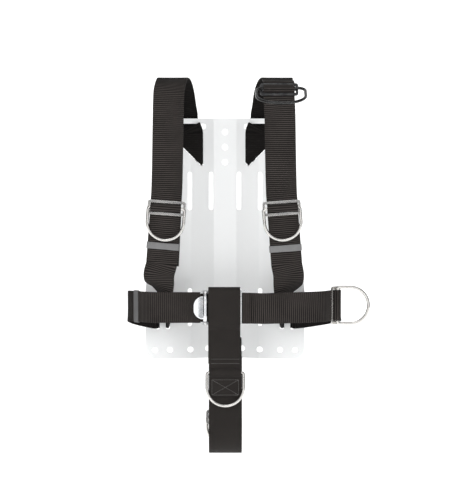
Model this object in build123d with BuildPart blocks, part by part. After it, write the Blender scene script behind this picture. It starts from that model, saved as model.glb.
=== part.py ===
"""Technical-diving backplate and harness: bent steel plate, 2 in webbing, slides, D-rings and cam buckle.

Frame: +Z up, -Y forward (out of the wearer's chest), +X the wearer's left.
The origin is midway between the two tank-bolt holes, on the rear face of the plate's channel.
"""
from build123d import *
import math
import os

os.makedirs("parts", exist_ok=True)

# ---------------------------------------------------------------- driving dimensions (mm)
PLATE_T = 3.0
PLATE_TOP, PLATE_BOTTOM = 187.7, -215.2
CHANNEL_X, CREST_X, EDGE_X = 19.3, 57.0, 133.0
CREST_Y = -19.1                     # mid-thickness of the crest bend
WING_ANGLE = 11.0                   # the wings lean forward by this much
BOLT_R, BOLT_Z = 5.0, 139.7         # tank bolts, 11 in apart
WEB_W, WEB_T = 50.8, 2.5            # harness webbing
BAR_R = 2.5                         # D-ring wire
RING_HALF = 30.0                    # D-ring half width, wire centre to centre
SLIDE_W, SLIDE_H, SLIDE_T = 62.6, 24.0, 2.5
SLIDE_Z = WEB_T / 2 + 0.05          # slide's back face above the webbing's mid-plane
RING_Z = SLIDE_Z + SLIDE_T + 0.3 + BAR_R
LOOP_R = BAR_R + 0.3 + WEB_T / 2    # webbing's mid-plane radius over a ring bar
BELT_Z, BELT_Y = -122.0, -119.0     # waist belt in front of the wearer
SLOT_Z = -138.0                     # webbing's mid-height in the waist slots
INNER_SLOT_X, OUTER_SLOT_X = 95.8, 113.0
CROTCH_Y = -122.0                   # front leg of the crotch strap
LOWER = 76.0                        # the straight part of the chest straps, below the slides
RISE = 4.2                          # the chest straps lean out by this much
HARDWARE_X = 1.5                    # the chest slides and rings sit this much towards the middle
CROTCH_W, CROTCH_LOOP_W = 53.6, 52.4
REAR_X = -1.8                       # middle of the rear slide and ring
DIAGONAL = 72.5                     # the diagonal slots' middle line is z = |x| + this
TAIL_Z = 130.0                      # middle of the webbing behind the plate, past the diagonal slot


def local_plane(origin, up, out):
    """A plane whose y runs along the webbing and whose z points away from the wearer."""
    up, out = Vector(*up), Vector(*out)
    across = up.cross(out).normalized()
    return Plane(origin=origin, x_dir=across, z_dir=across.cross(up).normalized())


def moved(plane, x=0.0, y=0.0, z=0.0):
    """The same plane at an offset given in its own axes."""
    return Plane(origin=plane.from_local_coords((x, y, z)), x_dir=plane.x_dir, z_dir=plane.z_dir)


def side_plane(plane):
    """The plane across the webbing's width: x along the webbing, y away from the wearer."""
    return Plane(origin=plane.origin, x_dir=plane.y_dir, z_dir=plane.x_dir)


def strap_planes(stations, side=1):
    """Section planes of a strap from (x, y, z, width direction) stations, mirrored by side."""
    points = [Vector(side * x, y, z) for x, y, z, _ in stations]
    planes = []
    for i, (_, _, _, width) in enumerate(stations):
        along = (points[min(i + 1, len(points) - 1)] - points[max(i - 1, 0)]).normalized()
        across = Vector(side * width[0], width[1], width[2])
        across = (across - along * across.dot(along)).normalized()
        planes.append(Plane(origin=points[i], x_dir=across, z_dir=along))
    return planes


def finish(part, name):
    part.label = name
    export_step(part, f"parts/{name}.step")


# ---------------------------------------------------------------- backplate
with BuildPart() as backplate:
    wing_y = CREST_Y - (EDGE_X + 2 - CREST_X) * math.tan(math.radians(WING_ANGLE))
    with BuildSketch(Plane.XY):
        with BuildLine():
            FilletPolyline(
                (-EDGE_X - 2, wing_y), (-CREST_X, CREST_Y), (-CHANNEL_X, -PLATE_T / 2),
                (CHANNEL_X, -PLATE_T / 2), (CREST_X, CREST_Y), (EDGE_X + 2, wing_y), radius=7)
        trace(line_width=PLATE_T)
    extrude(amount=230, both=True)
    with BuildSketch(Plane.XZ):
        with BuildLine():
            FilletPolyline(
                (-EDGE_X, PLATE_BOTTOM), (EDGE_X, PLATE_BOTTOM), (EDGE_X, -100), (125, 3),
                (107, PLATE_TOP), (-107, PLATE_TOP), (-125, 3), (-EDGE_X, -100),
                radius=[19, 19, 60, 60, 16, 16, 60, 60], close=True)
        make_face()
    extrude(amount=80, both=True, mode=Mode.INTERSECT)
    with BuildSketch(Plane.XZ):
        with Locations(*[(0, z) for z in (165.1, BOLT_Z, 114.3, -BOLT_Z)]):
            Circle(BOLT_R)
        with Locations(*[(s * x, z) for s in (-1, 1)
                         for x, z in ((28.5, -199.5), (58.3, -200.5), (92.6, -200.5), (117.6, -200.5))]):
            Circle(BOLT_R)
        with Locations(*[(s * x, z) for s in (-1, 1) for x in (23.5, 59.0) for z in (66.0, -129.0)]):
            SlotOverall(64, 7, rotation=90)
        with Locations(*[(s * x, SLOT_Z) for s in (-1, 1) for x in (INNER_SLOT_X, OUTER_SLOT_X)]):
            SlotOverall(56, 7, rotation=90)
        for s in (-1, 1):
            with Locations((s * 64.5, 174.3)):
                SlotOverall(65, 9.4)
            with Locations((s * 62.4, 62.4 + DIAGONAL)):
                SlotOverall(72, 6, rotation=s * 45)
        with Locations((0, -182)):
            SlotOverall(56, 8)
    extrude(amount=80, both=True, mode=Mode.SUBTRACT)
finish(backplate.part, "backplate")


# ---------------------------------------------------------------- repeated hardware
def slide(name, plane, width=SLIDE_W):
    """A flat three-bar slide lying on the webbing."""
    with BuildPart() as body:
        with BuildSketch(moved(plane, z=SLIDE_Z)):
            RectangleRounded(width, SLIDE_H, 4.5)
            with Locations((0, 4.7), (0, -4.7)):
                RectangleRounded(width - 8.2, 5.4, 1.0, mode=Mode.SUBTRACT)
        extrude(amount=SLIDE_T)
        fillet(body.edges().group_by(Axis(plane.origin, plane.z_dir))[-1], 0.5)
    finish(body.part, name)


def webbing_loop(name, plane, crown=RING_Z + LOOP_R, width=WEB_W):
    """The hump of webbing that passes over a slide's middle bar."""
    with BuildPart() as body:
        with BuildSketch(side_plane(plane)):
            with BuildLine():
                FilletPolyline(
                    (12, 0), (6.2, 0), (LOOP_R + 0.05, crown), (-LOOP_R - 0.05, crown), (-6.2, 0), (-12, 0),
                    radius=[1.6, LOOP_R, LOOP_R, 1.6])
            trace(line_width=WEB_T)
        extrude(amount=width / 2, both=True)
    finish(body.part, name)


def d_ring(name, plane, height, half=RING_HALF, corner=4.0):
    """A D-ring whose straight bar lies on the plane's x axis and whose bow hangs along -y."""
    arm = height - half
    with BuildPart() as body:
        with BuildLine(plane) as wire:
            Line((0, 0), (half - corner, 0))
            RadiusArc((half - corner, 0), (half, -corner), corner)
            Line((half, -corner), (half, -arm))
            ThreePointArc((half, -arm), (0, -height), (-half, -arm))
            Line((-half, -arm), (-half, -corner))
            RadiusArc((-half, -corner), (-half + corner, 0), corner)
            Line((-half + corner, 0), (0, 0))
        with BuildSketch(Plane(origin=plane.origin, x_dir=plane.y_dir, z_dir=plane.x_dir)):
            Circle(BAR_R)
        sweep()
    finish(body.part, name)


def band(name, plane, depth_back=WEB_T / 2, depth_front=WEB_T / 2, width=WEB_W, tall=11.0, wall=2.0):
    """A rubber band around the webbing."""
    clear = 0.35
    with BuildPart() as body:
        middle = (depth_front - depth_back) / 2
        inside = depth_front + depth_back + 2 * clear
        with BuildSketch(Plane(origin=plane.from_local_coords((0, 0, middle)),
                               x_dir=plane.x_dir, z_dir=plane.y_dir)):
            RectangleRounded(width + 2 * clear + 2 * wall, inside + 2 * wall, 2.2)
            RectangleRounded(width + 2 * clear, inside, 0.4, mode=Mode.SUBTRACT)
        extrude(amount=tall / 2, both=True)
    finish(body.part, name)


# ---------------------------------------------------------------- shoulder straps
# sign, slide centre x and z, and the strap's x where it turns back under the arm
SIDE = {"right": (-1, 97.2, 41.5, 108.2), "left": (1, 94.2, 41.4, 103.6)}
ACROSS, WING = (1, 0, 0), (math.cos(math.radians(WING_ANGLE)), -math.sin(math.radians(WING_ANGLE)), 0)
BEHIND_BAR = (math.cos(math.radians(15.5)), -math.sin(math.radians(15.5)), 0)
ARCH_Y, ARCH_Z, ARCH_R = -66.5, 205.0, 49.0
chest_plane, side_straps, waist_links, wing_front_y = {}, {}, {}, -20.6


def wing_y_at(x):
    """The wing's front face."""
    return wing_front_y - (x - CREST_X) * math.tan(math.radians(WING_ANGLE))


def arch(angle, x):
    """A station on the arch over the shoulder; 0 degrees faces forward, 180 backward."""
    a = math.radians(angle)
    return (x, ARCH_Y - ARCH_R * math.cos(a), ARCH_Z + ARCH_R * math.sin(a), ACROSS)


for name, (s, slide_x, slide_z, arm_x) in SIDE.items():
    lean = math.radians(RISE)
    up, out = (-s * math.sin(lean), 0, math.cos(lean)), (0, -1, 0)
    plane = chest_plane[name] = local_plane((s * slide_x, -118.5, slide_z), up, out)
    shift = slide_x - 98.0

    def chest(distance, at=plane, sign=s):
        """A station on the straight part of the chest strap, so far above the slide's centre."""
        point = at.from_local_coords((0, distance, 0))
        return (sign * point.X, point.Y, point.Z, ACROSS)

    rear = [
        (61.6, wing_y_at(61.6) - 1.35, 154, WING),
        (61.6, wing_y_at(61.6) - 1.35, 161, WING),
        (62.2, wing_y_at(62.2) - 1.35, 165.6, WING),
        (64.6, wing_y_at(64.6) - 1.2, 170, WING),
        (67.4, wing_y_at(67.4) + 2.6, 174.3, WING),
        (68.8, -16.3, 180.5, BEHIND_BAR),
        (69.8, -16.0, 187, BEHIND_BAR),
        (71.0, -16.4, 194, ACROSS),
        arch(180, 73),
        arch(150, 76.5),
        arch(120, 81),
        arch(90, 86),
        arch(66, 88.6 + shift * 0.5),
    ]
    front = [
        (93.5 + shift, -115.8, 196, ACROSS),
        (94.3 + shift, -117.2, 150, ACROSS),
        (95.1 + shift, -118.3, 103, ACROSS),
        chest(24),
        chest(12),
    ]
    if name == "right":
        with BuildPart() as right_shoulder_strap:
            for section in strap_planes(rear + [arch(36, 92.4 + shift), arch(10, 93.2 + shift)] + front, s):
                with BuildSketch(section):
                    Rectangle(WEB_W, WEB_T)
            loft()
            split(bisect_by=Plane.XY.offset(163), keep=Keep.TOP)
            add(backplate.part, mode=Mode.SUBTRACT)
        finish(right_shoulder_strap.part, "right_shoulder_strap")
    else:
        tilt = math.radians(35)
        hose_x = 88.5
        hose_plane = local_plane(
            (hose_x, ARCH_Y - ARCH_R * math.cos(tilt) - 0.6, ARCH_Z + ARCH_R * math.sin(tilt) + 0.4),
            (0, math.sin(tilt), math.cos(tilt)), (0, -math.cos(tilt), math.sin(tilt)))

        def hose(distance):
            point = hose_plane.from_local_coords((0, distance, 0))
            return (point.X, point.Y, point.Z, ACROSS)

        with BuildPart() as left_shoulder_strap:
            for section in strap_planes(rear + [hose(16), hose(12)], s):
                with BuildSketch(section):
                    Rectangle(WEB_W, WEB_T)
            loft()
            split(bisect_by=Plane.XY.offset(163), keep=Keep.TOP)
            add(backplate.part, mode=Mode.SUBTRACT)
        finish(left_shoulder_strap.part, "left_shoulder_strap")
        with BuildPart() as left_chest_strap:
            for section in strap_planes([hose(-12), hose(-16)] + front, s):
                with BuildSketch(section):
                    Rectangle(WEB_W, WEB_T)
            loft()
        finish(left_chest_strap.part, "left_chest_strap")

    # under the arm: the strap turns back, twists on edge and enters the inner waist slot
    with BuildPart() as lower_strap:
        with BuildSketch(moved(plane, y=-12 - LOWER / 2, z=-WEB_T / 2)):
            Rectangle(WEB_W, LOWER)
        extrude(amount=WEB_T)
    finish(lower_strap.part, f"{name}_lower_strap")
    under_arm = [chest(-12 - LOWER), chest(-17 - LOWER)]
    for x, y, z, twist in ((0, -115.0, -68, 8), (-0.7, -107.5, -86, 25), (-3.5, -94.5, -102, 47),
                           (-6.5, -76, -117, 66), (-8.7, -56, -129, 80), (-9.5, -44, -136, 87),
                           (-9.7, -37, SLOT_Z, 90), (-9.7, -33.5, SLOT_Z, 90)):
        a = math.radians(twist)
        foot = INNER_SLOT_X + 9.7       # the same offsets lead into the slot
        start = arm_x + (foot - arm_x) * twist / 90
        under_arm.append((start + x, y, z, (math.cos(a), 0, math.sin(a))))
    with BuildPart() as side_strap:
        for section in strap_planes(under_arm, s):
            with BuildSketch(section):
                Rectangle(WEB_W, WEB_T)
        loft()
    finish(side_strap.part, f"{name}_side_strap")

    # behind the plate, from the inner to the outer waist slot
    with BuildPart() as waist_link:
        with BuildSketch(Plane.XY.offset(SLOT_Z)):
            with BuildLine():
                FilletPolyline((s * INNER_SLOT_X, -33.5), (s * INNER_SLOT_X, -23.6),
                               (s * OUTER_SLOT_X, -27.0), (s * OUTER_SLOT_X, -37), radius=3)
            trace(line_width=WEB_T)
        extrude(amount=WEB_W / 2, both=True)
    side_straps[name], waist_links[name] = side_strap, waist_link
    finish(waist_link.part, f"{name}_waist_link")

    # on the plate, from the shoulder down into the diagonal slot
    wing_plane = local_plane((s * CREST_X, wing_front_y, 0), (0, 0, 1),
                             (-s * math.sin(math.radians(WING_ANGLE)), -math.cos(math.radians(WING_ANGLE)), 0))
    stretch = 1 / math.cos(math.radians(WING_ANGLE))
    inner, outer = (61.6 - 25.4 - CREST_X) * stretch, (61.6 + 25.4 - CREST_X) * stretch
    with BuildPart() as neck_strap:
        with BuildSketch(moved(wing_plane, z=0.1)):
            with BuildLine():
                Polyline((s * inner, 163), (s * outer, 163), (s * outer, 61.6 + 25.4 + DIAGONAL),
                         (s * inner, 61.6 - 25.4 + DIAGONAL), close=True)
            make_face()
        extrude(amount=WEB_T)
        with BuildSketch(moved(wing_plane, x=s * (61.6 - CREST_X) * stretch, y=61.6 + DIAGONAL, z=-5.6)):
            Rectangle(68, WEB_T, rotation=s * 45)
        extrude(amount=8.1)
    finish(neck_strap.part, f"{name}_neck_strap")

    # behind the plate, from the diagonal slot to a short tail beside the channel
    slope = math.atan2(-CREST_Y - PLATE_T / 2, CREST_X - CHANNEL_X)
    tail_plane = local_plane((s * 38.8, -7.5, TAIL_Z), (s * math.cos(slope), -math.sin(slope), 0),
                             (s * math.sin(slope), math.cos(slope), 0))
    with BuildPart() as neck_tail:
        with BuildSketch(Plane.XY.offset(TAIL_Z)):
            with BuildLine():
                FilletPolyline((s * 12, 1.35), (s * 19.9, 1.35), (s * 57.7, -16.35), (s * 95, -23.6), radius=3)
            trace(line_width=WEB_T)
        extrude(amount=WEB_W / 2, both=True)
        with BuildSketch(Plane.XZ):
            with BuildLine():
                Polyline((s * (100 - DIAGONAL), 100), (s * (162 - DIAGONAL), 162), (s * 140, 162),
                         (s * 140, 100), close=True)
            make_face()
        extrude(amount=60, both=True, mode=Mode.SUBTRACT)
        add(neck_strap.part, mode=Mode.SUBTRACT)
    finish(neck_tail.part, f"{name}_neck_tail")
    slide(f"{name}_neck_slide", tail_plane)

    # shoulder D-ring and its slide, and the rubber band for a light
    slide(f"{name}_shoulder_slide", moved(plane, x=-s * HARDWARE_X))
    webbing_loop(f"{name}_shoulder_loop", plane)
    d_ring(f"{name}_shoulder_ring", moved(plane, x=-s * HARDWARE_X, z=RING_Z), 52.6)
    if name == "right":
        band("right_light_band", moved(plane, y=-63), depth_back=WEB_T * 1.5 + 0.1)
    else:
        band("left_light_band", moved(plane, y=-66.3))

with BuildPart() as right_strap_tail:   # the spare end of the right chest strap, doubled behind it
    with BuildSketch(moved(chest_plane["right"], x=0.3, y=-53.5, z=-WEB_T / 2 - 0.1)):
        Rectangle(WEB_W, 83)
    extrude(amount=-WEB_T)
    add(side_straps["right"].part, mode=Mode.SUBTRACT)
finish(right_strap_tail.part, "right_strap_tail")

slide("hose_slide", hose_plane)
webbing_loop("hose_loop", hose_plane)
with BuildPart() as hose_ring:
    droop = math.radians(20)
    ring_at = hose_plane.from_local_coords((2.5, 0, RING_Z))
    ring_plane = Plane(origin=ring_at, x_dir=(1, 0, 0), z_dir=(0, -math.sin(droop), math.cos(droop)))
    with BuildLine(ring_plane) as loop_line:
        FilletPolyline((-40, 0), (40, 0), (40, -73), (-40, -73), radius=[14, 14, 36, 36], close=True)
    with BuildSketch(Plane(origin=loop_line.line @ 0, z_dir=loop_line.line % 0)):
        Circle(2.4)
    sweep()
finish(hose_ring.part, "hose_ring")

# ---------------------------------------------------------------- waist belt
with BuildPart() as right_belt_front:
    with BuildSketch(Plane.XY.offset(BELT_Z)):
        with BuildLine():
            FilletPolyline((22, BELT_Y), (-119, BELT_Y), (-156, -82), radius=28)
        trace(line_width=WEB_T)
    extrude(amount=WEB_W / 2, both=True)
finish(right_belt_front.part, "right_belt_front")

HIP_X, HIP_Y, HIP_Z, HIP_TURN = 180.5, -86.0, BELT_Z + 1.5, math.radians(55)
hip_along = (math.cos(HIP_TURN), math.sin(HIP_TURN), 0)
hip_out = (math.sin(HIP_TURN), -math.cos(HIP_TURN), 0)
hip_plane = local_plane((HIP_X, HIP_Y, HIP_Z), hip_along, hip_out)


def hip(distance):
    """A point on the belt beside the hip slide."""
    return (HIP_X + distance * hip_along[0], HIP_Y + distance * hip_along[1])


with BuildPart() as left_belt_front:
    with BuildSketch(Plane.XY.offset(BELT_Z)):
        with BuildLine():
            FilletPolyline((42, -124.6), (30, -124.6), (30, BELT_Y), (157.4, BELT_Y), hip(-12),
                           radius=[2.6, 2.6, 34])
        trace(line_width=WEB_T)
    extrude(amount=WEB_W / 2, both=True)
finish(left_belt_front.part, "left_belt_front")

UP = (0, 0, 1)
right_side = [(156, -82, BELT_Z, UP), (158.9, -77, -122.3, UP), (160, -66, -124, UP),
              (153, -53, -128, UP), (139, -45.5, -133, UP), (123, -42.5, -136.7, UP),
              (115.8, -41, SLOT_Z, UP), (113.4, -39.3, SLOT_Z, UP), (OUTER_SLOT_X, -37, SLOT_Z, UP)]
left_side = [(*hip(12), BELT_Z, UP), (*hip(15), BELT_Z, UP), (189.5, -63, -123.5, UP),
             (176, -52, -128, UP), (152, -46, -133, UP), (126, -43.5, -137, UP),
             (116, -41.2, SLOT_Z, UP), (113.4, -39.3, SLOT_Z, UP), (OUTER_SLOT_X, -37, SLOT_Z, UP)]
for name, s, stations, meets in (("right", -1, right_side, right_belt_front),
                                 ("left", 1, left_side, left_belt_front)):
    with BuildPart() as belt_side:
        for section in strap_planes(stations, s):
            with BuildSketch(section):
                Rectangle(WEB_W, WEB_T)
        loft()
        add([meets.part, waist_links[name].part], mode=Mode.SUBTRACT)
    finish(belt_side.part, f"{name}_belt_side")

slide("hip_slide", hip_plane)
webbing_loop("hip_loop", hip_plane)
hip_bar = hip_plane.from_local_coords((0, 0, RING_Z))
d_ring("hip_ring", Plane(origin=hip_bar, x_dir=(0, 0, 1), z_dir=(0, -1, 0)), 51)
BAND_TURN = math.radians(45)
band("belt_band", local_plane((-145.6, -92.4, BELT_Z), (-math.cos(BAND_TURN), math.sin(BAND_TURN), 0),
                              (-math.sin(BAND_TURN), -math.cos(BAND_TURN), 0)))

# ---------------------------------------------------------------- cam buckle
PIN_X, PIN_Y, PIN_R = -32.4, -125.1, 2.0
TAB_RIGHT, TAB_TIP, TAB_HALF = -29.6, -51.8, 18.8
FRAME_BACK = BELT_Y - WEB_T / 2 - 0.35
with BuildPart() as buckle_frame:
    with BuildSketch(Plane.XZ.offset(-FRAME_BACK)):
        with Locations((-0.9, BELT_Z)):
            RectangleRounded(78.8, 58, 5)
        with Locations((-11.5, BELT_Z)):    # open towards the lever, between two arms
            RectangleRounded(59, 47, 2, mode=Mode.SUBTRACT)
        with Locations((30, BELT_Z)):
            RectangleRounded(5.6, 52.4, 1.5, mode=Mode.SUBTRACT)
    extrude(amount=2.5)
    for z in (-25.6, 25.6):             # ears that hold the lever's pin
        with BuildSketch(Plane.XY.offset(BELT_Z + z)):
            with Locations((PIN_X, PIN_Y)):
                Circle(4)
            with Locations((PIN_X, (PIN_Y + FRAME_BACK) / 2)):
                Rectangle(8, FRAME_BACK - PIN_Y)
            with Locations((PIN_X, PIN_Y)):
                Circle(PIN_R, mode=Mode.SUBTRACT)
        extrude(amount=1.5, both=True)
finish(buckle_frame.part, "buckle_frame")

with BuildPart() as buckle_pin:
    with BuildSketch(Plane.XY.offset(BELT_Z)):
        with Locations((PIN_X, PIN_Y)):
            Circle(PIN_R)
    extrude(amount=27.6, both=True)
finish(buckle_pin.part, "buckle_pin")

with BuildPart() as buckle_lever:
    with BuildSketch(Plane.XY.offset(BELT_Z)):
        with Locations((PIN_X, PIN_Y)):
            Circle(3.7)
    extrude(amount=22.5, both=True)
    with BuildSketch(Plane.XZ.offset(124.2)):   # the thumb tab, round at its end
        with BuildLine():
            FilletPolyline((TAB_RIGHT, BELT_Z - TAB_HALF), (TAB_RIGHT, BELT_Z + TAB_HALF),
                           (TAB_TIP, BELT_Z + TAB_HALF), (TAB_TIP, BELT_Z - TAB_HALF),
                           radius=[1, 1, 16, 16], close=True)
        make_face()
    extrude(amount=2)
    with BuildSketch(Plane.XY.offset(BELT_Z)):
        with Locations((PIN_X, PIN_Y)):
            Circle(PIN_R + 0.05)
    extrude(amount=30, both=True, mode=Mode.SUBTRACT)
finish(buckle_lever.part, "buckle_lever")

# ---------------------------------------------------------------- crotch strap
ACROSS_PLANE = Plane.YZ                 # x is Y, y is Z, normal +X
with BuildPart() as crotch_loop:
    with BuildSketch(ACROSS_PLANE.offset(-1.2)):
        with BuildLine():
            FilletPolyline(
                (CROTCH_Y + 2.6, -213), (CROTCH_Y + 2.6, -173), (-116.4, -157), (-116.4, -89.2),
                (-126.7, -89.2), (-126.7, -157), (CROTCH_Y, -173), (CROTCH_Y, -213),
                radius=[12, 12, 5, 5, 12, 12])
        trace(line_width=WEB_T)
    extrude(amount=CROTCH_LOOP_W / 2, both=True)
finish(crotch_loop.part, "crotch_loop")

STRAP_X = 0.6
REAR_TOP, REAR_LOW = (-7.3, -213), (-20, -366)
rear_up = Vector(0, REAR_TOP[0] - REAR_LOW[0], REAR_TOP[1] - REAR_LOW[1]).normalized()
rear_origin = Vector(STRAP_X, *REAR_LOW) + rear_up * 51.3
rear_plane = local_plane(rear_origin, rear_up, (0, rear_up.Z, -rear_up.Y))


def rear(distance):
    """A point on the rear leg's middle line, so far above the rear slide's centre."""
    point = rear_origin + rear_up * distance
    return (point.Y, point.Z)


with BuildPart() as crotch_strap:       # front leg, the bend under the wearer, rear leg up to the rear slide
    with BuildSketch(ACROSS_PLANE.offset(STRAP_X)):
        with BuildLine():
            FilletPolyline((CROTCH_Y, -213), (CROTCH_Y, -366), REAR_LOW, rear(-12), radius=[46, 30])
        trace(line_width=WEB_T)
    extrude(amount=CROTCH_W / 2, both=True)
finish(crotch_strap.part, "crotch_strap")

with BuildPart() as crotch_strap_top:   # from the rear slide up into the plate's crotch slot
    with BuildSketch(ACROSS_PLANE.offset(STRAP_X)):
        with BuildLine():
            FilletPolyline(rear(12), REAR_TOP, (REAR_TOP[0], -182), (-0.2, -182), radius=[30, 2])
        trace(line_width=WEB_T)
    extrude(amount=CROTCH_W / 2, both=True)
    add(backplate.part, mode=Mode.SUBTRACT)
finish(crotch_strap_top.part, "crotch_strap_top")

with BuildPart() as crotch_tail:        # through the plate's slot and down behind its lower bar
    with BuildSketch(ACROSS_PLANE.offset(STRAP_X)):
        with BuildLine():
            FilletPolyline((-0.2, -182), (1.5, -182), (1.5, -219), (-3.6, -262), radius=[1.45, 20])
        trace(line_width=WEB_T)
    extrude(amount=CROTCH_W / 2, both=True)
finish(crotch_tail.part, "crotch_tail")

rear_hardware = Plane(origin=(REAR_X, rear_origin.Y, rear_origin.Z), x_dir=rear_plane.x_dir,
                      z_dir=rear_plane.z_dir)
slide("crotch_slide", rear_hardware, width=60)
webbing_loop("crotch_rear_loop", rear_hardware)
rear_bar = rear_hardware.from_local_coords((0, 0, RING_Z))
d_ring("crotch_ring_rear", local_plane(rear_bar, (0, 0, 1), (0, 1, 0)), 46, half=28.4)

TAB_Z = -228.5                          # the front ring's bar, under a sewn tab of webbing
TAB_RING = 0.3 + BAR_R - WEB_T / 2 - 0.1
tab_plane = local_plane((0.4, CROTCH_Y - WEB_T - 0.1, TAB_Z), (0, 0, 1), (0, -1, 0))
with BuildPart() as crotch_tab:
    with BuildSketch(side_plane(tab_plane)):
        with BuildLine():
            FilletPolyline((22, 0), (7.4, 0), (LOOP_R, TAB_RING + LOOP_R), (-LOOP_R, TAB_RING + LOOP_R),
                           (-7.4, 0), (-39.5, 0), radius=[3, LOOP_R - 0.1, LOOP_R - 0.1, 3])
        trace(line_width=WEB_T)
    extrude(amount=WEB_W / 2 - 0.9, both=True)
finish(crotch_tab.part, "crotch_tab")
lift = math.radians(5)                  # the ring's bow rests on the tab's end
d_ring("crotch_ring_front", local_plane(tab_plane.from_local_coords((0, 0, TAB_RING)),
                                        (0, math.sin(lift), math.cos(lift)), (0, -1, 0)), 54.5)
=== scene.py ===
import math
import bmesh
import bpy
import numpy as np
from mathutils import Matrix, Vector


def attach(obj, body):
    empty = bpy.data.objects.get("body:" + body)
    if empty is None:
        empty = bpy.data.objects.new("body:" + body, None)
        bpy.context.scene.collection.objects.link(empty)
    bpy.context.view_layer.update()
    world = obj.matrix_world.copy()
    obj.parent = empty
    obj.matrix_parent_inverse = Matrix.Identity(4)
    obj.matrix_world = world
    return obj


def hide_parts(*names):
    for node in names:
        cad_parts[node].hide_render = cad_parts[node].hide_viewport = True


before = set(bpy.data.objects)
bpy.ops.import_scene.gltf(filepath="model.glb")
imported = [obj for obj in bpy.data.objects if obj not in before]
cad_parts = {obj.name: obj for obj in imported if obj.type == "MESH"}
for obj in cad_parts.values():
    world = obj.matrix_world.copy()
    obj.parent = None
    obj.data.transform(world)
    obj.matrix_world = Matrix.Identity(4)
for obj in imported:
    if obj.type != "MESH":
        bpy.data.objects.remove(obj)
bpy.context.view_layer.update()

MM = 0.001
HARNESS = "harness"
WEB, THICK = 50.8, 2.5                  # the webbing's width and thickness, mm
RIB = 3.25                              # pitch of its cross ribs, mm
YARN = 0.0017                           # pitch of its lengthwise yarns, m


# ------------------------------------------------------------------ materials
class Mat:
    """A node material with a short way to add nodes."""

    def __init__(self, name, color, rough, metal=0.0, **values):
        self.mat = bpy.data.materials.new(name)
        self.mat.use_nodes = True
        self.nodes, self.links = self.mat.node_tree.nodes, self.mat.node_tree.links
        self.bsdf = self.nodes["Principled BSDF"]
        self.bsdf.inputs["Base Color"].default_value = (*color, 1)
        self.bsdf.inputs["Roughness"].default_value = rough
        self.bsdf.inputs["Metallic"].default_value = metal
        for key, value in values.items():
            self.bsdf.inputs[key.replace("_", " ")].default_value = value
        self.mat.diffuse_color = (*color, 1)

    def put(self, socket, value):
        if isinstance(value, bpy.types.NodeSocket):
            self.links.new(value, socket)
        else:
            socket.default_value = value

    def add(self, kind, **inputs):
        node = self.nodes.new("ShaderNode" + kind)
        for key, value in inputs.items():
            self.put(node.inputs[key], value)
        return node

    def math(self, op, a, b=0.0, c=0.0, clamp=False):
        node = self.nodes.new("ShaderNodeMath")
        node.operation, node.use_clamp = op, clamp
        for socket, value in zip(node.inputs, (a, b, c)):
            self.put(socket, value)
        return node.outputs[0]

    def ramp(self, fac, *stops):
        node = self.nodes.new("ShaderNodeValToRGB")
        elements = node.color_ramp.elements
        while len(elements) < len(stops):
            elements.new(0.5)
        for element, (at, c) in zip(elements, stops):
            element.position = at
            element.color = (*c, 1) if isinstance(c, tuple) else (c, c, c, 1)
        self.links.new(fac, node.inputs[0])
        return node.outputs[0]

    def coords(self, scale=(1, 1, 1)):
        out = self.nodes.new("ShaderNodeTexCoord").outputs["Object"]
        if scale == (1, 1, 1):
            return out
        mapping = self.add("Mapping", Vector=out)
        mapping.inputs["Scale"].default_value = scale
        return mapping.outputs[0]

    def noise(self, scale, detail=2.0, vector=None, rough=0.5):
        node = self.add("TexNoise", Scale=scale, Detail=detail, Roughness=rough)
        self.links.new(vector or self.coords(), node.inputs["Vector"])
        return node.outputs["Fac"]

    def bump(self, height, strength, distance):
        node = self.add("Bump", Strength=strength, Distance=distance, Height=height)
        self.links.new(node.outputs[0], self.bsdf.inputs["Normal"])

    def link(self, out, name):
        self.links.new(out, self.bsdf.inputs[name])


def webbing_material(name, base, light, pitch, groove_shade):
    """Ribbed nylon: ribs along v in step with the mesh, warp yarns along u, staggered rib by rib, with
    painted shade and highlight on the ribs.
    """
    m = Mat(name, base, 0.75, Sheen_Weight=0.03, Sheen_Roughness=0.5, Specular_IOR_Level=0.12)
    uv = m.nodes.new("ShaderNodeUVMap")
    uv.uv_map = "UVMap"
    split = m.add("SeparateXYZ", Vector=uv.outputs[0])
    u, v = split.outputs[0], split.outputs[1]
    rib = m.math("ABSOLUTE", m.math("COSINE", m.math("MULTIPLY", v, math.pi / (pitch * MM))))
    row = m.math("FLOOR", m.math("ADD", m.math("DIVIDE", v, pitch * MM), 0.5))
    yarns = m.math("ADD", m.math("DIVIDE", u, YARN), m.math("MULTIPLY", row, 0.5))
    yarn = m.math("ABSOLUTE", m.math("SINE", m.math("MULTIPLY", yarns, math.pi)))
    fibre, patch = m.noise(1900, 3), m.noise(24, 3)
    # the tone follows the mesh's ribs: painted shade in the grooves and painted highlight on the crowns,
    # over the real yarn and fibre texture
    tone = m.math("MULTIPLY", m.math("POWER", rib, 0.9), m.math("MULTIPLY_ADD", yarn, 0.3, 0.7))
    tone = m.math("MULTIPLY", tone, m.math("MULTIPLY_ADD", fibre, 0.5, 0.75))
    tone = m.math("MULTIPLY", tone, m.math("MULTIPLY_ADD", patch, 0.35, 0.82), clamp=True)
    # painted shade: lighter towards the front, darker behind the plate and under the arms, set by depth
    # along y
    depth = m.add("SeparateXYZ", Vector=m.coords()).outputs[1]
    wear_and_painted_shade = m.ramp(m.math("MULTIPLY", depth, -10.0, clamp=True), (0.2, 0.42), (0.8, 0.68), (1.0, 0.95))
    tone = m.math("MULTIPLY", tone, wear_and_painted_shade)
    # the groove end of the ramp is painted shade; the light end is partly painted highlight on the rib
    # crowns
    m.link(m.ramp(tone, (0.0, tuple(c * groove_shade for c in base)), (0.55, base), (1.0, light)), "Base Color")
    m.link(m.ramp(fibre, (0.3, 0.66), (0.75, 0.86)), "Roughness")
    height = m.math("ADD", m.math("MULTIPLY", yarn, 0.7), m.math("MULTIPLY", fibre, 0.5))
    m.bump(height, 0.5, 0.0002)
    return m.mat


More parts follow.
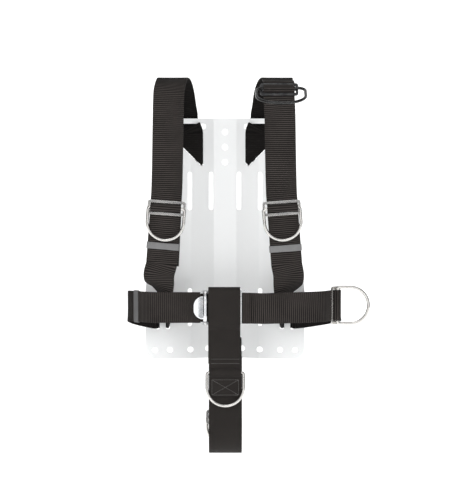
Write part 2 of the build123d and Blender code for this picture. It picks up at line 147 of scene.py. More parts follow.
def plate_material():
    """Satin stainless sheet: fine grain, faint roll lines, soft mottling, painted dark reflection on the
    cut edges.
    """
    m = Mat("plate_satin_steel", (0.9, 0.905, 0.91), 0.5, 0.4)
    grain, cloud = m.noise(2600, 2), m.noise(9, 4)
    lines = m.noise(1.0, 2, m.coords((60, 60, 2600)))
    mix = m.math("ADD", m.math("MULTIPLY", cloud, 0.6), m.math("MULTIPLY", grain, 0.4))
    sheet = m.ramp(mix, (0.25, (0.88, 0.89, 0.892)), (0.75, (0.925, 0.935, 0.935)))
    # painted dark reflection on the cut edges: faces turned side-on to y are darker than the faces
    normal = m.nodes.new("ShaderNodeNewGeometry").outputs["True Normal"]
    facing = m.add("SeparateXYZ", Vector=normal).outputs[1]
    cut = m.ramp(m.math("ABSOLUTE", facing), (0.3, 0.3), (0.6, 1.0))
    edge_shaded_sheet = m.add("Mix")
    edge_shaded_sheet.data_type, edge_shaded_sheet.blend_type = "RGBA", "MULTIPLY"
    edge_shaded_sheet.inputs[0].default_value = 1.0
    m.put(edge_shaded_sheet.inputs[6], sheet)
    m.put(edge_shaded_sheet.inputs[7], cut)
    m.link(edge_shaded_sheet.outputs[2], "Base Color")
    m.link(m.ramp(mix, (0.2, 0.46), (0.8, 0.6)), "Roughness")
    m.bump(m.math("ADD", grain, m.math("MULTIPLY", lines, 0.5)), 0.12, 0.00005)
    return m.mat


def polished_material(name, color, rough):
    m = Mat(name, color, rough, 1.0)
    fine, smear = m.noise(900, 3), m.noise(38, 4)
    mix = m.math("ADD", m.math("MULTIPLY", fine, 0.4), m.math("MULTIPLY", smear, 0.6))
    m.link(m.ramp(mix, (0.3, rough * 0.8), (0.7, rough * 1.4)), "Roughness")
    m.link(m.ramp(smear, (0.3, tuple(c * 0.93 for c in color)), (0.7, color)), "Base Color")
    m.bump(fine, 0.04, 0.00002)
    return m.mat


def buckle_material():
    m = Mat("buckle_satin_steel", (0.74, 0.75, 0.76), 0.3, 1.0)
    lines, smear = m.noise(1.0, 3, m.coords((40, 1800, 1800))), m.noise(45, 3)
    m.link(m.ramp(lines, (0.3, 0.24), (0.7, 0.4)), "Roughness")
    m.link(m.ramp(smear, (0.3, (0.68, 0.69, 0.7)), (0.7, (0.8, 0.805, 0.81))), "Base Color")
    m.bump(lines, 0.15, 0.00005)
    return m.mat


def lever_material():
    """Bright pressed sheet with a soft polish."""
    m = Mat("lever_pressed_steel", (0.8, 0.81, 0.83), 0.2, 1.0)
    smear, fine = m.noise(50, 3), m.noise(1400, 2)
    m.link(m.ramp(smear, (0.3, 0.15), (0.7, 0.24)), "Roughness")
    m.link(m.ramp(smear, (0.3, (0.74, 0.755, 0.78)), (0.7, (0.84, 0.85, 0.86))), "Base Color")
    m.bump(fine, 0.03, 0.00002)
    return m.mat


def rubber_material(name, dark, light, rough, grain=700, strength=0.3):
    m = Mat(name, dark, rough, Specular_IOR_Level=0.45)
    fine, dust = m.noise(grain, 4), m.noise(60, 5, rough=0.65)
    mix = m.math("ADD", m.math("MULTIPLY", fine, 0.35), m.math("MULTIPLY", dust, 0.65))
    m.link(m.ramp(mix, (0.3, dark), (0.7, light)), "Base Color")
    m.link(m.ramp(mix, (0.3, rough * 0.8), (0.7, min(1.0, rough * 1.25))), "Roughness")
    m.bump(fine, strength, 0.00012)
    return m.mat


def dark_metal_material():
    coated = (0.03, 0.03, 0.032)
    m = Mat("black_coated_steel", coated, 0.32, 0.6, Coat_Weight=0.3, Coat_Roughness=0.2)
    fine, wear_and_painted_shade = m.noise(1200, 3), m.noise(90, 4)
    m.link(m.ramp(wear_and_painted_shade, (0.45, coated), (0.8, (0.14, 0.14, 0.14))), "Base Color")
    m.link(m.ramp(fine, (0.3, 0.26), (0.7, 0.45)), "Roughness")
    m.bump(fine, 0.2, 0.00006)
    return m.mat


def thread_material():
    m = Mat("bonded_thread", (0.06, 0.058, 0.055), 0.55, Sheen_Weight=0.2)
    fine = m.noise(1500, 2)
    m.link(m.ramp(fine, (0.3, (0.05, 0.048, 0.045)), (0.7, (0.11, 0.105, 0.1))), "Base Color")
    m.bump(fine, 0.3, 0.0001)
    return m.mat


# the last figure is the painted shade in the rib grooves, as a share of base; the lighter colour is partly
# painted highlight
webbing = webbing_material(
    "webbing_nylon", (0.0118, 0.0101, 0.0092), (0.07, 0.0605, 0.0562), RIB, 0.1)
fine_webbing = webbing_material(
    "webbing_fine", (0.0155, 0.0134, 0.0122), (0.036, 0.0313, 0.0288), RIB / 2, 0.4)
plate_mat, buckle_mat, thread = plate_material(), buckle_material(), thread_material()
lever_mat = lever_material()
polished = polished_material("polished_steel", (0.72, 0.705, 0.68), 0.2)
band_rubber = rubber_material("inner_tube_rubber", (0.13, 0.13, 0.132), (0.19, 0.19, 0.19), 0.6)
band_dark = rubber_material("inner_tube_rubber_dark", (0.075, 0.075, 0.077), (0.11, 0.11, 0.11), 0.6)
hose_rubber = rubber_material(
    "moulded_black_rubber", (0.009, 0.009, 0.009), (0.016, 0.016, 0.016), 0.26, 300, 0.12)
dark_metal = dark_metal_material()

NODE_MATERIALS = {
    "backplate": plate_mat, "buckle_frame": buckle_mat, "buckle_lever": buckle_mat, "buckle_pin": polished,
    "hose_slide": dark_metal, "hose_ring": hose_rubber, "right_light_band": band_rubber,
    "left_light_band": band_rubber, "belt_band": band_dark,
}
for name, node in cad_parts.items():
    mat = NODE_MATERIALS.get(name) or (polished if "ring" in name or "slide" in name else webbing)
    for place in node.material_slots:
        place.material = mat


# ------------------------------------------------------------------ routes
def unit(v):
    v = np.asarray(v, float)
    return v / np.linalg.norm(v)


def spline(stations, per=14):
    """Centripetal Catmull-Rom through (x, y, z, width direction) stations."""
    p = np.array([s[:3] for s in stations], float)
    w = np.array([s[3] for s in stations], float)
    q = np.concatenate([[2 * p[0] - p[1]], p, [2 * p[-1] - p[-2]]])
    rows = []
    for i in range(len(p) - 1):
        a, b, c, d = q[i:i + 4]
        t1 = np.linalg.norm(b - a) ** 0.5
        t2 = t1 + np.linalg.norm(c - b) ** 0.5
        t3 = t2 + np.linalg.norm(d - c) ** 0.5
        for k in range(per + (i == len(p) - 2)):
            f = k / per
            t = t1 + (t2 - t1) * f
            a1, a2 = a + (b - a) * t / t1, b + (c - b) * f
            a3 = c + (d - c) * (t - t2) / (t3 - t2)
            b1 = a1 + (a2 - a1) * t / t2
            b2 = a2 + (a3 - a2) * (t - t1) / (t3 - t1)
            rows.append((*(b1 + (b2 - b1) * f), *(w[i] + (w[i + 1] - w[i]) * f)))
    return np.array(rows)


def bends(points, radii, width):
    """Straight runs with arcs at the corners."""
    p = [np.array(q, float) for q in points]
    out = [p[0]]
    for i, r in enumerate(radii, 1):
        a, b = unit(p[i - 1] - p[i]), unit(p[i + 1] - p[i])
        turn = math.pi - math.acos(np.clip(a @ b, -1, 1))
        start, end = p[i] + a * r * math.tan(turn / 2), p[i] + b * r * math.tan(turn / 2)
        centre = p[i] + unit(a + b) * r / math.cos(turn / 2)
        n = max(4, int(turn / math.radians(7)))
        for f in np.linspace(0, 1, n + 1):
            arm = math.sin((1 - f) * turn) * (start - centre) + math.sin(f * turn) * (end - centre)
            out.append(centre + arm / math.sin(turn))
    out.append(p[-1])
    return np.array([(*q, *width) for q in out])


def join(*parts):
    """One route from several, without doubled points."""
    rows = [parts[0][0]]
    for part in parts:
        for row in part:
            if np.linalg.norm(row[:3] - rows[-1][:3]) > 0.05:
                rows.append(row)
    return np.array(rows)


def resample(route, step, soften):
    """Even steps along a route, with its changes of direction softened a little."""
    d = np.r_[0, np.cumsum(np.linalg.norm(np.diff(route[:, :3], axis=0), axis=1))]
    s = np.linspace(0, d[-1], int(round(d[-1] / step)) + 1)
    out = np.stack([np.interp(s, d, route[:, k]) for k in range(6)], 1)
    k = int(round(soften / step))
    if k:
        kernel = np.hanning(2 * k + 3)[1:-1]
        kernel /= kernel.sum()
        ends = 2 * out[:1] - out[1:k + 1][::-1], 2 * out[-1:] - out[-k - 1:-1][::-1]
        padded = np.concatenate([ends[0], out, ends[1]])
        out = np.stack([np.convolve(padded[:, c], kernel, "valid") for c in range(6)], 1)
    return s, out


def axes(rows):
    """Width and thickness directions along a resampled route."""
    t = np.gradient(rows[:, :3], axis=0)
    t /= np.linalg.norm(t, axis=1)[:, None]
    w = rows[:, 3:] - (rows[:, 3:] * t).sum(1)[:, None] * t
    w /= np.linalg.norm(w, axis=1)[:, None]
    return w, np.cross(w, t)


# ------------------------------------------------------------------ meshes
def new_piece(name, verts, faces, mat, body=HARNESS, slot="webbing", uv=None):
    """A closed mesh from points in mm, riding on a body."""
    mesh = bpy.data.meshes.new(name)
    mesh.from_pydata((np.asarray(verts) * MM).tolist(), [], faces)
    mesh.polygons.foreach_set("use_smooth", [True] * len(mesh.polygons))
    if uv is not None:
        loops = np.zeros(len(mesh.loops), int)
        mesh.loops.foreach_get("vertex_index", loops)
        mesh.uv_layers.new(name="UVMap").data.foreach_set("uv", (np.asarray(uv) * MM)[loops].ravel())
    bm = bmesh.new()
    bm.from_mesh(mesh)
    if bm.calc_volume(signed=True) < 0:
        bmesh.ops.reverse_faces(bm, faces=bm.faces)
        bm.to_mesh(mesh)
    bm.free()
    mesh.update()
    mesh.materials.append(mat)
    piece = bpy.data.objects.new(name, mesh)
    bpy.context.scene.collection.objects.link(piece)
    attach(piece, body)
    return piece


def tube_faces(rings, around, first=0):
    """Quads between rings of points, closed by a fan-free cap at each end."""
    faces = []
    for i in range(rings - 1):
        for j in range(around):
            k = (j + 1) % around
            a, b = first + i * around, first + (i + 1) * around
            faces.append((a + j, a + k, b + k, b + j))
    last = first + (rings - 1) * around
    faces.append(tuple(range(first + around - 1, first - 1, -1)))
    faces.append(tuple(range(last, last + around)))
    return faces


COLUMNS = 13
RIB_DEPTH = 0.36
SOFTEN = 1.6                            # how far a change of direction is spread, mm


def section_of(width):
    """(across, side, how much it is ribbed) round the webbing: front, selvedge, back, selvedge."""
    half = width / 2 - 0.85
    flat = [(c, 1.0, 1.0) for c in np.linspace(-half, half, COLUMNS)]
    edge = [(half + 0.55, 0.78, 0.5), (half + 0.85, 0.0, 0.0), (half + 0.55, -0.78, 0.5)]
    return flat + edge + [(-c, -side, k) for c, side, k in flat + edge]


def ribbon(name, route, nodes, face, width=WEB, lay=None, pitch=RIB, depth=RIB_DEPTH, mat=webbing):
    """Ribbed webbing along a route, standing for CAD nodes.

    face is 1 or -1 for the side that faces out; lay(s, u, h, points) may move one column's points.
    """
    s, rows = resample(route, RIB / 6, SOFTEN)
    w, n = axes(rows)
    n = n * face
    rib = np.abs(np.cos(math.pi * s / pitch)) ** 0.75
    grid, uv = [], []
    for u, side, ribbing in section_of(width):
        h = side * (THICK / 2 - depth * ribbing * (1 - rib) - 0.12 * (1 - ribbing))
        across = u + np.sign(u) * 0.14 * (rib - 1) * (abs(u) > width / 2 - 0.84)
        points = rows[:, :3] + w * across[:, None] + n * h[:, None]
        grid.append(lay(s, u, h, points) if lay else points)
        uv.append(np.stack([np.full(len(s), u + 40.0), s], 1))
    verts = np.stack(grid, 1).reshape(-1, 3)
    uv = np.stack(uv, 1).reshape(-1, 2)
    piece = new_piece(name, verts, tube_faces(len(s), len(grid)), mat, uv=uv)
    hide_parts(*nodes)
    return piece


# ------------------------------------------------------------------ the harness's sizes, as in the CAD (mm)
WING = math.radians(11.0)
CREST, WING_FRONT = 57.0, -20.6
ARCH_Y, ARCH_Z, ARCH_R = -66.5, 205.0, 49.0
DIAGONAL = 72.5                         # the diagonal slots' middle line is z = |x| + this
BELT_Z, BELT_Y, SLOT_Z = -122.0, -119.0, -138.0
INNER_SLOT, OUTER_SLOT = 95.8, 113.0
BAR_X, END_Y = 28.6, -124.6             # the belt turns back round the buckle's right bar
RING_Z, LOOP_R = 6.65, 4.05             # ring bar's height over the webbing, radius of the hump
NECK_X, NECK_Z, NECK_RUN = 61.6, 163.0, 82.7
X, UP = (1, 0, 0), (0, 0, 1)
ON_WING = (math.cos(WING), -math.sin(WING), 0)
BAR_TURN = math.radians(15.5)           # how far the strap is turned behind the plate's top bar
BEHIND_BAR = (math.cos(BAR_TURN), -math.sin(BAR_TURN), 0)
OFF_METAL = 1.35                        # the webbing's middle surface, off the plate it lies on


class Local:
    """A plane whose y runs along the webbing and whose z points away from the wearer."""

    def __init__(self, origin, up, out):
        self.o = np.array(origin, float)
        self.x = unit(np.cross(up, out))
        self.z = unit(np.cross(self.x, up))
        self.y = np.cross(self.z, self.x)

    def at(self, x=0.0, y=0.0, z=0.0):
        return self.o + self.x * x + self.y * y + self.z * z

    def station(self, y, width=X):
        return (*self.at(0, y), width)

    def hump(self, width):
        """The webbing's way over a slide's middle bar and the ring's bar, from above to below."""
        crown, r = RING_Z + LOOP_R, LOOP_R
        profile = [(12, 0), (6.2, 0), (r + 0.05, crown), (-r - 0.05, crown), (-6.2, 0), (-12, 0)]
        return bends([self.at(0, y, z) for y, z in profile], [1.6, r, r, 1.6], width)


def track(stations, s=1):
    """A spline through stations given for the left side, mirrored for the right."""
    return spline([(s * x, y, z, (s * w[0], w[1], w[2])) for x, y, z, w in stations])


def wing_y(x):
    """The wing's front face."""
    return WING_FRONT - (x - CREST) * math.tan(WING)


def arch(angle, x):
    a = math.radians(angle)
    return (x, ARCH_Y - ARCH_R * math.cos(a), ARCH_Z + ARCH_R * math.sin(a), X)


def smooth(v, low, high):
    f = np.clip((v - low) / (high - low), 0, 1)
    return f * f * (3 - 2 * f)


# ------------------------------------------------------------------ the strap over the shoulder
EDGE_Q, FOLD_R = 1.5, 2.85              # the fold round the diagonal slot's upper edge
SLOT_P, SLOT_HALF = (62.4 * 2 + DIAGONAL) / math.sqrt(2), 34.0   # the slot's middle and half length
CHANNEL_SIDE, CHANNEL_X = 0.437, 38.8   # slope of the channel's side, and where the rear slide sits


def neck_fold(s, u, h, points, sign, neck_x):
    """Lays the first stretch through the diagonal slot and inward along the plate's rear."""
    below = s < NECK_RUN
    d = (NECK_RUN - s)[below]
    h = h[below] if np.ndim(h) else h
    x = neck_x + u * math.cos(WING)
    z = NECK_Z - d
    q, p = (z - x - DIAGONAL) / math.sqrt(2), (z + x) / math.sqrt(2)
    turn = np.clip((EDGE_Q - q) / FOLD_R, 0, math.pi)
    behind = 2 * EDGE_Q - math.pi * FOLD_R - q
    q2 = np.where(turn <= 0, q, np.where(turn >= math.pi, behind, EDGE_Q - (FOLD_R + h) * np.sin(turn)))
    # the webbing draws in a little where it passes the slot
    drawn = 1 - smooth(q2, 0, 16)
    p = p + drawn * (np.clip(p, SLOT_P - SLOT_HALF, SLOT_P + SLOT_HALF) - p)
    x2 = (p - q2) / math.sqrt(2) - DIAGONAL / 2
    z2 = (p + q2) / math.sqrt(2) + DIAGONAL / 2
    # front: flat across the wing, dipping towards the slope near the slot
    slope_y = -3.1 - OFF_METAL - np.clip(x2 - 19.3, 0, 37.7) * 17.6 / 37.7
    dip = 0.55 * (1 - smooth(q2, 3, 22)) * (x2 < CREST)
    front = (wing_y(x2) - OFF_METAL) * (1 - dip) + slope_y * dip
    rear = np.interp(x2, [10, 17.8, 20.3, 23, 54.5, 57.5, 60.5, 95],
                     [1.35, 1.35, 1.0, -0.1, -14.9, -16.2, -17.0, -23.6])
    # over the rear slide's middle bar
    along = (x2 - CHANNEL_X) / math.cos(CHANNEL_SIDE)
    over = 5.0 * (1 - smooth(np.abs(along), 1.9, 6.6)) * (turn >= math.pi)
    y = (front + rear) / 2 - np.cos(turn) * ((rear - front) / 2 + h)
    out = points.copy()
    x3, y3 = x2 + over * math.sin(CHANNEL_SIDE), y + over * math.cos(CHANNEL_SIDE)
    out[below] = np.stack([sign * x3, y3, z2], 1)
    return out


SLIDE_X = 98.0                          # the shoulder slide's place that the routes are drawn for
# sign, slide centre x and z, x where it turns back under the arm, how far inward the neck end sits
SIDES = {"right": (-1, 97.2, 41.5, 108.2, 0.0), "left": (1, 94.2, 41.4, 103.6, 2.6)}
CHEST_Y, lean = -118.5, math.radians(4.2)
chest = {side: Local((s * x, CHEST_Y, z), (-s * math.sin(lean), 0, math.cos(lean)), (0, -1, 0))
         for side, (s, x, z, _, _) in SIDES.items()}
tilt = math.radians(35)
hose = Local((88.5, ARCH_Y - ARCH_R * math.cos(tilt) - 0.6, ARCH_Z + ARCH_R * math.sin(tilt) + 0.4),
             (0, math.sin(tilt), math.cos(tilt)), (0, -math.cos(tilt), math.sin(tilt)))
HIP = math.radians(55)
hip = Local((180.5, -86, BELT_Z + 1.5), (math.cos(HIP), math.sin(HIP), 0),
            (math.sin(HIP), -math.cos(HIP), 0))

for side, (s, slide_x, slide_z, arm_x, inward) in SIDES.items():
    shift, plane = slide_x - SLIDE_X, chest[side]

    def on_chest(y):
        point = plane.at(0, y)
        return (s * point[0], point[1], point[2], X)

    neck_x = NECK_X - inward
    neck = [(neck_x, wing_y(neck_x) - OFF_METAL, z, ON_WING)
            for z in (NECK_Z - NECK_RUN, NECK_Z - 20, NECK_Z)]
    climb = neck[-1:] + [
        (62.6 - inward, wing_y(62.6) - OFF_METAL, 166.4, ON_WING),
        (64.6 - inward, wing_y(64.6) - 1.2, 170, ON_WING),
        (67.4 - inward, wing_y(67.4) + 2.6, 174.3, ON_WING), (68.8 - inward, -16.3, 180.5, BEHIND_BAR),
        (69.8 - inward, -16.0, 187, BEHIND_BAR), (71.0 - inward, -16.4, 194, X), arch(180, 73 - inward),
        arch(150, 76.5 - inward), arch(120, 81 - inward / 2), arch(90, 86), arch(66, 88.6 + shift * 0.5)]
    front = [(93.5 + shift, -115.8, 196, X), (94.3 + shift, -117.2, 150, X), (95.1 + shift, -118.3, 103, X),
             on_chest(24), on_chest(12)]
    if side == "right":
        over = track(climb + [arch(36, 92.4 + shift), arch(10, 93.2 + shift)] + front, s)
        nodes = []
    else:
        over = join(track(climb + [hose.station(16), hose.station(12)]), hose.hump(X),
                    track([hose.station(-12), hose.station(-16)] + front))
        nodes = ["left_chest_strap", "hose_loop"]
    under = [on_chest(-88), on_chest(-93)]
    early = 10 if side == "right" else 0    # the right strap starts its twist higher up, degrees
    for x, y, z, twist in ((0.5, -115, -68, 6 + early / 2), (0, -107.5, -84, 24 + early),
                           (-2.5, -94.5, -100, 45 + early), (-6, -76, -117, 65), (-8.5, -56, -129, 76),
                           (-9.4, -44, -136, 82), (-9.7, -37, SLOT_Z, 90), (-9.7, -33.5, SLOT_Z, 90)):
        a = math.radians(twist)
        start = arm_x + (INNER_SLOT + 9.7 - arm_x) * twist / 90
        under.append((start + x, y, z, (math.cos(a), 0, math.sin(a))))
    link = bends([(s * INNER_SLOT, -33.5, SLOT_Z), (s * INNER_SLOT, -23.6, SLOT_Z),
                  (s * OUTER_SLOT, -27.0, SLOT_Z), (s * OUTER_SLOT, -37, SLOT_Z)], [3, 3], UP)
    across = (s, 0, 0)
    if side == "right":
        belt_side = [(OUTER_SLOT, -37, SLOT_Z, UP), (113.4, -39.3, SLOT_Z, UP), (115.8, -41, SLOT_Z, UP),
                     (123, -42.5, -136.7, UP), (139, -45.5, -133, UP), (153, -53, -128, UP),
                     (160, -66, -124, UP), (158.9, -77, -122.3, UP), (156, -82, BELT_Z, UP)]
        belt = [track(belt_side, s),
                bends([(-156, -82, BELT_Z), (-119, BELT_Y, BELT_Z), (22, BELT_Y, BELT_Z)], [28], UP)]
    else:
        belt_side = [(OUTER_SLOT, -37, SLOT_Z, UP), (113.4, -39.3, SLOT_Z, UP), (116, -41.2, SLOT_Z, UP),
                     (126, -43.5, -137, UP), (152, -46, -133, UP), (176, -52, -128, UP),
                     (189.5, -63, -123.5, UP), hip.station(15, UP), hip.station(12, UP)]
        belt = [track(belt_side), hip.hump(UP),
                bends([hip.at(0, -12), (157.4, BELT_Y, BELT_Z + 1.2), (64, BELT_Y, BELT_Z - 1.8),
                       (BAR_X, BELT_Y, BELT_Z - 0.8), (BAR_X, END_Y, BELT_Z - 0.8),
                       (41, END_Y, BELT_Z - 0.8)], [34, 12, 2.6, 2.6], UP)]
        nodes += ["hip_loop"]
    route = join(track(neck, s), over, plane.hump(across), track(under, s), link, *belt)
    nodes += [f"{side}_{part}" for part in (
        "neck_strap", "neck_tail", "shoulder_strap", "shoulder_loop", "lower_strap", "side_strap",
        "waist_link", "belt_side", "belt_front")]

    def lay(along, u, h, points, sign=s, neck=neck_x):
        return neck_fold(along, u, h, points, sign, neck)

    ribbon(f"{side}_harness_strap", route, nodes, -s, lay=lay)

tail_plane = chest["right"]
tail_end = [(*tail_plane.at(x, y, -2.6), (-1, 0, 0)) for x, y in ((1.0, -12), (2.0, -50), (3.2, -95))]
ribbon("right_doubled_end", track(tail_end), ["right_strap_tail"], 1)

# ------------------------------------------------------------------ crotch strap
FRONT, LAYER = -122.0, 2.6
BELOW = (-20.0, -366.0)
REAR_TOP = (-7.3, -213.0)
rear_up = unit((0, REAR_TOP[0] - BELOW[0], REAR_TOP[1] - BELOW[1]))
rear = Local(np.array((0.6, *BELOW)) + rear_up * 51.3, rear_up, (0, rear_up[2], -rear_up[1]))
TAB_Z, TAB_RING = -228.5, 0.3 + 2.5 - 1.25 - 0.1
tab = Local((0.4, FRONT - LAYER - 0.1, TAB_Z), (0, 0, 1), (0, -1, 0))


def crotch_bends(points, radii, x):
    return bends([(x, y, z) for y, z in points], radii, (1, 0, 0))


FINE = dict(pitch=RIB / 2, depth=0.13, mat=fine_webbing)
crown = TAB_RING + LOOP_R
upper = join(
    crotch_bends([(FRONT + LAYER, -214), (FRONT + LAYER, -173), (-116.4, -157), (-116.4, -89.2),
                  (-126.7, -89.2), (-126.7, -150.5), (-122.3, -157.5), (FRONT - LAYER - 0.1, -180),
                  (FRONT - LAYER - 0.1, -206)], [12, 12, 5, 5, 4, 4, 30], -1.2),
    bends([tab.at(-0.6, 14, 0), tab.at(0, 7.4, 0), tab.at(0, LOOP_R, crown), tab.at(0, -LOOP_R, crown),
           tab.at(0, -7.4, 0), tab.at(0, -39.5, 0)], [3, LOOP_R - 0.1, LOOP_R - 0.1, 3], (1, 0, 0)))
ribbon("crotch_loop_webbing", upper, ["crotch_loop", "crotch_tab"], 1, width=52.8, **FINE)
lower = join(
    crotch_bends([(FRONT, -203), (FRONT, -366), BELOW, tuple(rear.at(0, -12)[1:])], [46, 30], 0.6),
    rear.hump(X)[::-1],
    crotch_bends([tuple(rear.at(0, 12)[1:]), REAR_TOP, (REAR_TOP[0], -182), (1.5, -182), (1.5, -219),
                  (-3.6, -262)], [30, 4.3, 4.3, 20], 0.6))
lower_nodes = ["crotch_strap", "crotch_rear_loop", "crotch_strap_top", "crotch_tail"]
ribbon("crotch_webbing", lower, lower_nodes, 1, width=54.6, **FINE)


# ------------------------------------------------------------------ rubber bands
BAND_TALL, BAND_WALL = 11.0, 1.0
# (out, up) round the band's cut section, as shares of its wall and its height
BAND_SECTION = [(0.0, -0.36), (0.12, -0.47), (0.5, -0.5), (0.88, -0.47), (1.0, -0.38), (1.0, -0.2),
                (1.04, 0.0), (1.0, 0.2), (1.0, 0.38), (0.88, 0.47), (0.5, 0.5), (0.12, 0.47),
                (0.0, 0.36), (0.0, 0.0)]


def rubber_band(name, plane, mat, back, front, seed):
    """A cut ring of inner tube stretched round webbing that reaches back and front of the plane."""
    rng = np.random.default_rng(seed)
    half, clear = WEB / 2 + 0.3, 0.28
    low, high = -back - clear, front + clear
    path = []
    r = 1.6                             # round the four corners of the webbing
    for cx, cy, start in ((half - r, high - r, 0), (-half + r, high - r, 90), (-half + r, low + r, 180),
                          (half - r, low + r, 270)):
        for a in np.radians(np.linspace(start, start + 90, 7)):
            path.append((cx + r * math.cos(a), cy + r * math.sin(a), math.cos(a), math.sin(a)))
        nxt = {0: (-1, 0), 90: (0, -1), 180: (1, 0), 270: (0, 1)}[start]
        if nxt[0]:
            for f in np.linspace(0, 1, 20)[1:-1]:
                x0, n_y = (half - r) * -nxt[0], (1 if start == 0 else -1)
                path.append((x0 + nxt[0] * 2 * (half - r) * f, high if start == 0 else low, 0, n_y))
    phase = rng.uniform(0, 6.28, 4)
    rings = []
    for i, (px, pz, nx, nz) in enumerate(path):
        turn = 2 * math.pi * i / len(path)
        edge = 0.22 * math.sin(3 * turn + phase[0]) + 0.14 * math.sin(7 * turn + phase[1])
        drift = 0.3 * math.sin(turn + phase[2])
        ring = []
        for out, up in BAND_SECTION:
            y = up * (BAND_TALL + edge) + drift
            ring.append(plane.at(px + nx * out * BAND_WALL, y, pz + nz * out * BAND_WALL))
        rings.append(ring)
    n, m = len(rings), len(BAND_SECTION)
    faces = [(i * m + j, i * m + (j + 1) % m, ((i + 1) % n) * m + (j + 1) % m, ((i + 1) % n) * m + j)
             for i in range(n) for j in range(m)]
    verts = np.array(rings).reshape(-1, 3)
    piece = new_piece(f"{name}_ring", verts, faces, mat, f"{name}_body", "band_rubber")
    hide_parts(name)


def moved(plane, y):
    """The same plane further along its webbing."""
    out = Local((0, 0, 0), plane.y, plane.z)
    out.o = plane.at(0, y)
    return out


single, doubled = THICK / 2, THICK / 2 + 2.6
rubber_band("right_light_band", moved(chest["right"], -63), band_rubber, doubled, single, 3)
rubber_band("left_light_band", moved(chest["left"], -66.3), band_rubber, single, single, 5)
belt_turn = math.radians(45)
belt_at = Local((-145.6, -92.4, BELT_Z), (-math.cos(belt_turn), math.sin(belt_turn), 0),
                (-math.sin(belt_turn), -math.cos(belt_turn), 0))
rubber_band("belt_band", belt_at, band_dark, single, single, 8)


# ------------------------------------------------------------------ the buckle's lever
PIN = (-32.4, -125.1)
TAB_LEFT, TAB_RIGHT, TAB_HALF, TAB_CORNER = -51.8, -33.0, 18.8, 16.0
TAB_Y, TAB_BOW = -124.9, 1.7            # the tab's plane, and how far its end is bowed in
TAB_MIDDLE, TAB_THICK = 8.0, 1.35       # the closing point's distance from TAB_RIGHT


def lever_tab():
    """A pressed thumb tab, round at its end and bowed a little, on a rolled barrel round the pin."""
    def bow(x):
        return TAB_BOW * ((TAB_RIGHT - x) / (TAB_RIGHT - TAB_LEFT)) ** 2.6

    outline = [(TAB_RIGHT, z) for z in np.linspace(-TAB_HALF, TAB_HALF, 25)[:-1]]
    centre = TAB_LEFT + TAB_CORNER
    for start, z in ((90, TAB_HALF - TAB_CORNER), (180, -TAB_HALF + TAB_CORNER)):
        for a in np.radians(np.linspace(start, start + 90, 15)):
            outline.append((centre + TAB_CORNER * math.cos(a), z + TAB_CORNER * math.sin(a)))
    outline = np.array(outline)
    middle = np.array([TAB_RIGHT - TAB_MIDDLE, 0.0])
    # (share of the outline, how far forward) from the rear face to the front one
    verts, levels = [], [(1.0, 0.35), (1.0, 1.1)]
    levels += [(f, TAB_THICK) for f in (0.975, 0.9, 0.75, 0.5, 0.25)]
    for scale, front in levels:
        for x, z in middle + (outline - middle) * scale:
            verts.append((x, TAB_Y - front + bow(x), BELT_Z + z))
    n = len(outline)
    faces = [(k * n + i, k * n + (i + 1) % n, (k + 1) * n + (i + 1) % n, (k + 1) * n + i)
             for k in range(len(levels) - 1) for i in range(n)]
    last = (len(levels) - 1) * n
    verts.append((middle[0], TAB_Y - TAB_THICK + bow(middle[0]), BELT_Z))
    faces += [(last + i, last + (i + 1) % n, len(verts) - 1) for i in range(n)]
    faces.append(tuple(range(n))[::-1])
    looks = lever_mat, "buckle_lever_body", "buckle_steel"
    new_piece("lever_tab", verts, faces, *looks)
    rings, around = [-22.4, -21.9, -12.0, 0.0, 12.0, 21.9, 22.4], 32
    barrel = []
    for z in rings:
        r = 3.3 if abs(z) > 22 else 3.7
        barrel += [(PIN[0] + r * math.cos(a), PIN[1] + r * math.sin(a), BELT_Z + z)
                   for a in np.linspace(0, 2 * math.pi, around, endpoint=False)]
    piece = new_piece("lever_barrel", barrel, tube_faces(len(rings), around), *looks)
    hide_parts("buckle_lever")


lever_tab()


# ------------------------------------------------------------------ stitching
class Stitches:
    """Lock stitches laid on a flat face, all in one mesh."""

    def __init__(self):
        self.verts, self.faces = [], []

    def stitch(self, plane, a, b, lift, r=0.42):
        a, b = plane.at(*a, lift), plane.at(*b, lift)
        across = unit(np.cross(plane.z, unit(b - a)))
        first, rings = len(self.verts), 7
        for f in np.linspace(0, 1, rings):
            centre = a + (b - a) * f + plane.z * (0.34 * math.sin(math.pi * f) - 0.12)
            size = r * (0.35 + 0.65 * math.sin(math.pi * min(max(f, 0.06), 0.94)) ** 0.5)
            for k in range(8):
                t = 2 * math.pi * k / 8
                self.verts.append(centre + across * size * math.cos(t) + plane.z * size * math.sin(t))
        self.faces += tube_faces(rings, 8, first)

    def line(self, plane, a, b, lift, pitch=3.1, gap=0.55):
        a, b = np.array(a, float), np.array(b, float)
        n = max(1, int(round(np.linalg.norm(b - a) / pitch)))
        step = (b - a) / n
        trim = step / np.linalg.norm(step) * gap / 2
        for i in range(n):
            self.stitch(plane, a + step * i + trim, a + step * (i + 1) - trim, lift)


sewn = Stitches()
face_lift = 1.42                        # just over the webbing's face
for z in (-206.2, -213.4):
    sewn.line(tab, (-23.2, z - TAB_Z), (23.2, z - TAB_Z), face_lift)
left_x, right_x, top_y, low_y = -21.8, 21.8, -240.3 - TAB_Z, -265.3 - TAB_Z
for a, b in (((left_x, top_y), (right_x, top_y)), ((right_x, top_y), (right_x, low_y)),
             ((right_x, low_y), (left_x, low_y)), ((left_x, low_y), (left_x, top_y)),
             ((left_x, top_y), (right_x, low_y)), ((right_x, top_y), (left_x, low_y))):
    sewn.line(tab, a, b, face_lift)
new_piece("crotch_stitching", sewn.verts, sewn.faces, thread)

# ------------------------------------------------------------------ floor, light and camera
FLOOR_Z = -0.62
FLAT, CURVE = 4.5, 2.5                  # radius of the flat floor and of the curve up, m


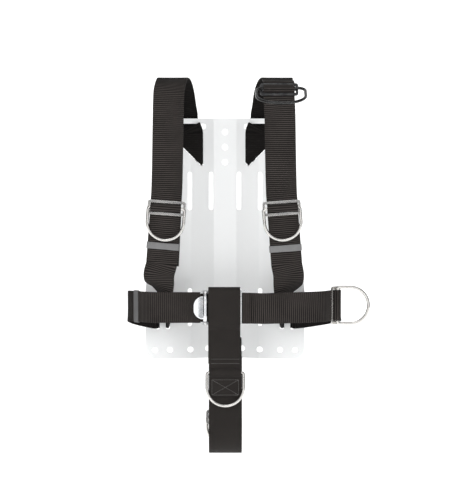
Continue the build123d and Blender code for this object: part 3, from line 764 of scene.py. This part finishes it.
def studio():
    """A pale floor that curves up all round into a wall."""
    profile = [(0.001, 0.0), (1.0, 0.0), (2.5, 0.0), (FLAT, 0.0)]
    profile += [(FLAT + CURVE * math.sin(a), CURVE - CURVE * math.cos(a))
                for a in np.radians(np.arange(9, 91, 9))]
    profile += [(FLAT + CURVE, 3.2)]
    around = 96
    verts, faces = [], []
    for r, z in profile:
        for k in range(around):
            a = 2 * math.pi * k / around
            verts.append((r * math.cos(a), r * math.sin(a), FLOOR_Z + z))
    for i in range(len(profile) - 1):
        for k in range(around):
            n = (k + 1) % around
            faces.append((i * around + k, i * around + n, (i + 1) * around + n, (i + 1) * around + k))
    faces.append(tuple(range(around))[::-1])
    mesh = bpy.data.meshes.new("studio_floor")
    mesh.from_pydata(verts, [], faces)
    mesh.polygons.foreach_set("use_smooth", [True] * len(mesh.polygons))
    mesh.update()
    paper = Mat("studio_paper", (0.94, 0.94, 0.94), 0.9,
                Emission_Color=(1, 1, 1, 1), Emission_Strength=0.45)
    mesh.materials.append(paper.mat)
    floor = bpy.data.objects.new("studio_floor", mesh)
    bpy.context.scene.collection.objects.link(floor)


def flag(name, azimuth, elevation, radius, color):
    """A dark card that is only seen in reflections: it gives polished metal its dark streaks."""
    verts, columns = [], 7
    for e in elevation:
        for a in np.radians(np.linspace(*azimuth, columns)):
            verts.append((radius * math.sin(a), -radius * math.cos(a), radius * math.tan(math.radians(e))))
    faces = [(k, k + 1, columns + k + 1, columns + k) for k in range(columns - 1)]
    mesh = bpy.data.meshes.new(name)
    mesh.from_pydata(verts, [], faces)
    mesh.materials.append(Mat(f"{name}_cloth", color, 0.9).mat)
    card = bpy.data.objects.new(name, mesh)
    bpy.context.scene.collection.objects.link(card)
    card.visible_camera = card.visible_diffuse = card.visible_shadow = card.visible_transmission = False


def area_light(name, at, aim, size, power, glossy=True):
    data = bpy.data.lights.new(name, "AREA")
    data.shape, data.size, data.energy = "DISK", size, power
    lamp = bpy.data.objects.new(name, data)
    lamp.location = at
    lamp.rotation_euler = (Vector(aim) - Vector(at)).to_track_quat("-Z", "Y").to_euler()
    lamp.visible_glossy = glossy
    bpy.context.scene.collection.objects.link(lamp)


studio()
flag("flag_front", (-11, 13), (-13, 5), 4.3, (0.11, 0.118, 0.13))
flag("flag_right", (48, 118), (-24, 55), 3.2, (0.05, 0.05, 0.055))
flag("flag_left", (-118, -48), (-24, 55), 3.2, (0.05, 0.05, 0.055))
world = bpy.data.worlds.new("studio_world")
world.use_nodes = True
world.node_tree.nodes["Background"].inputs["Color"].default_value = (1, 1, 1, 1)
world.node_tree.nodes["Background"].inputs["Strength"].default_value = 0.6
scene = bpy.context.scene
scene.world = world
scene.view_settings.view_transform = "Standard"
TARGET = Vector((0, 0, -0.0338))
DISTANCE, LENS = 4, 189.6
area_light("key_front", (-0.4, -4.3, 2.5), TARGET, 2.6, 62, glossy=False)
area_light("fill_top", (-0.6, -2.2, 2.9), TARGET, 1.6, 14)

camera_data = bpy.data.cameras.new("camera")
camera_data.sensor_fit, camera_data.sensor_width, camera_data.lens = "HORIZONTAL", 36, LENS
camera_data.clip_end = 60
camera = bpy.data.objects.new("camera", camera_data)
elevation = math.radians(3)
camera.location = TARGET + DISTANCE * Vector((0, -math.cos(elevation), math.sin(elevation)))
camera.rotation_euler = (TARGET - camera.location).to_track_quat("-Z", "Y").to_euler()
scene.collection.objects.link(camera)
scene.camera = camera
